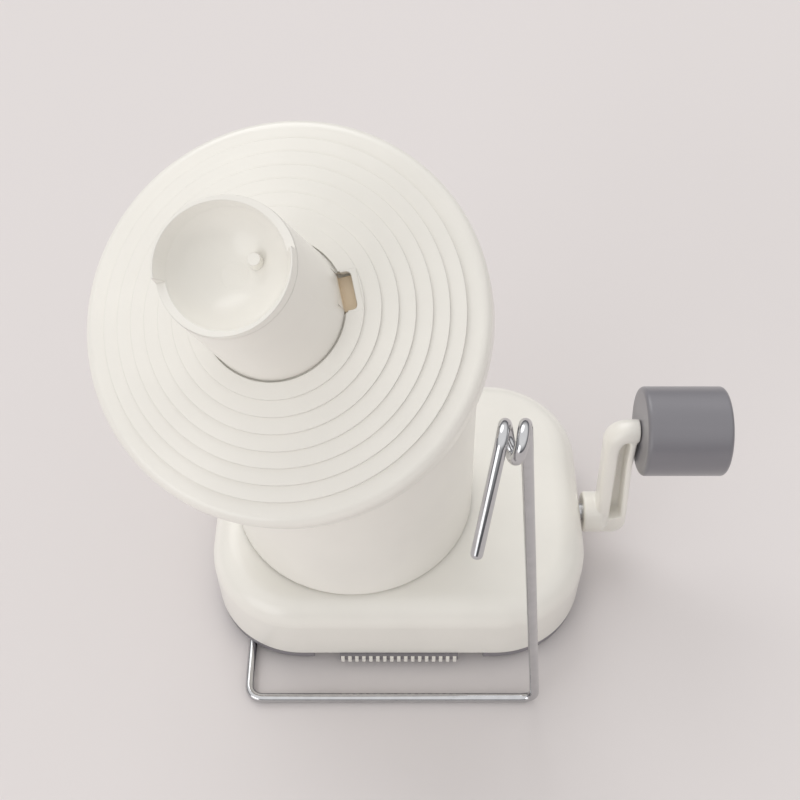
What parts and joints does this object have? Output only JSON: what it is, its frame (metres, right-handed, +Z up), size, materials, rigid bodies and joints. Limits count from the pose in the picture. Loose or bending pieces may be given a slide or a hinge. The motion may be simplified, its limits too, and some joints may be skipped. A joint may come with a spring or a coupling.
{
  "type": "yarn ball winder",
  "caption": "Hand-cranked yarn ball winder: rounded suction base, geared drum, tilted stepped plate with a spool, side crank with knob, and a bent wire yarn guide.",
  "frame": {"origin": "on the table, at the middle of the whole object's box", "axes": "+Z up; +X towards the crank; +Y to the back, away from the wire guide"},
  "size_m": [0.1865, 0.1324, 0.1849],
  "materials": {
    "white": "glossy warm white moulding",
    "grey": "satin grey moulding",
    "knob_grey": "satin grey moulding",
    "rubber": "matt black rubber",
    "steel": "bright drawn steel",
    "nylon": "natural moulded nylon",
    "brass": "turned bush",
    "chrome": "bright plated wire"
  },
  "bodies": {
    "base": {"upper_shell": "white", "lower_casing": "grey", "casing_screws": "steel", "rubber_feet": "rubber", "suction_cup": "rubber", "center_post": "steel", "fixed_gear": "nylon", "post_screw": "steel", "thrust_washer": "nylon", "shaft_bracket": "nylon", "wall_bushing": "nylon"},
    "drum": {"drum_body": "white", "drum_lid": "white", "lid_screws": "steel", "drum_gear": "nylon", "spindle_bushing": "brass"},
    "spindle": {"spindle_shaft": "steel", "spindle_pinion": "nylon", "plate": "white", "plate_nut": "steel"},
    "spool": {"spool": "white"},
    "latch": {"spool_latch": "white"},
    "crank": {"crank_shaft": "steel", "shaft_collar": "steel", "crank_gear": "nylon", "crank_arm": "white", "crank_screw": "steel", "knob_pin": "steel", "knob_screw": "steel"},
    "knob": {"knob": "knob_grey"},
    "slider": {"suction_slider": "white"},
    "stem": {"suction_stem": "nylon"},
    "guide": {"wire_guide": "chrome"}
  },
  "joints": [
    {"name": "drum_spin", "type": "hinge", "parent": "base", "child": "drum", "pos_m": [-0.02277, 0.01621, 0.06], "axis": [0, 0, 1], "continuous": true},
    {"name": "spindle_spin", "type": "hinge", "parent": "drum", "child": "spindle", "pos_m": [-0.03536, 0.01959, 0.108], "axis": [-0.1333, -0.4975, 0.8572], "continuous": true},
    {"name": "spool_lift", "type": "slide", "parent": "spindle", "child": "spool", "axis": [-0.1333, -0.4975, 0.8572], "range_m": [0, 0.04]},
    {"name": "latch_press", "type": "slide", "parent": "spool", "child": "latch", "axis": [-0.9692, -0.1153, -0.2177], "range_m": [0, 0.0012]},
    {"name": "crank_spin", "type": "hinge", "parent": "base", "child": "crank", "pos_m": [0.01723, 0.01621, 0.02], "axis": [1, 0, 0], "continuous": true},
    {"name": "knob_spin", "type": "hinge", "parent": "crank", "child": "knob", "pos_m": [0.08023, 0.01621, 0.0665], "axis": [1, 0, 0], "continuous": true},
    {"name": "lock_slide", "type": "slide", "parent": "base", "child": "slider", "axis": [1, 0, 0], "range_m": [-0.008, 0.008]},
    {"name": "stem_lift", "type": "slide", "parent": "base", "child": "stem", "axis": [0, 0, 1], "range_m": [-0.0008, 0.0008]},
    {"name": "guide_pull", "type": "slide", "parent": "base", "child": "guide", "axis": [0, -1, 0], "range_m": [0, 0.02]}
  ],
  "couplings": [
    {"joint": "crank_spin", "follows": "drum_spin", "ratio": -0.7},
    {"joint": "spindle_spin", "follows": "drum_spin", "ratio": 1.1429},
    {"joint": "stem_lift", "follows": "lock_slide", "ratio": 0.1}
  ]
}
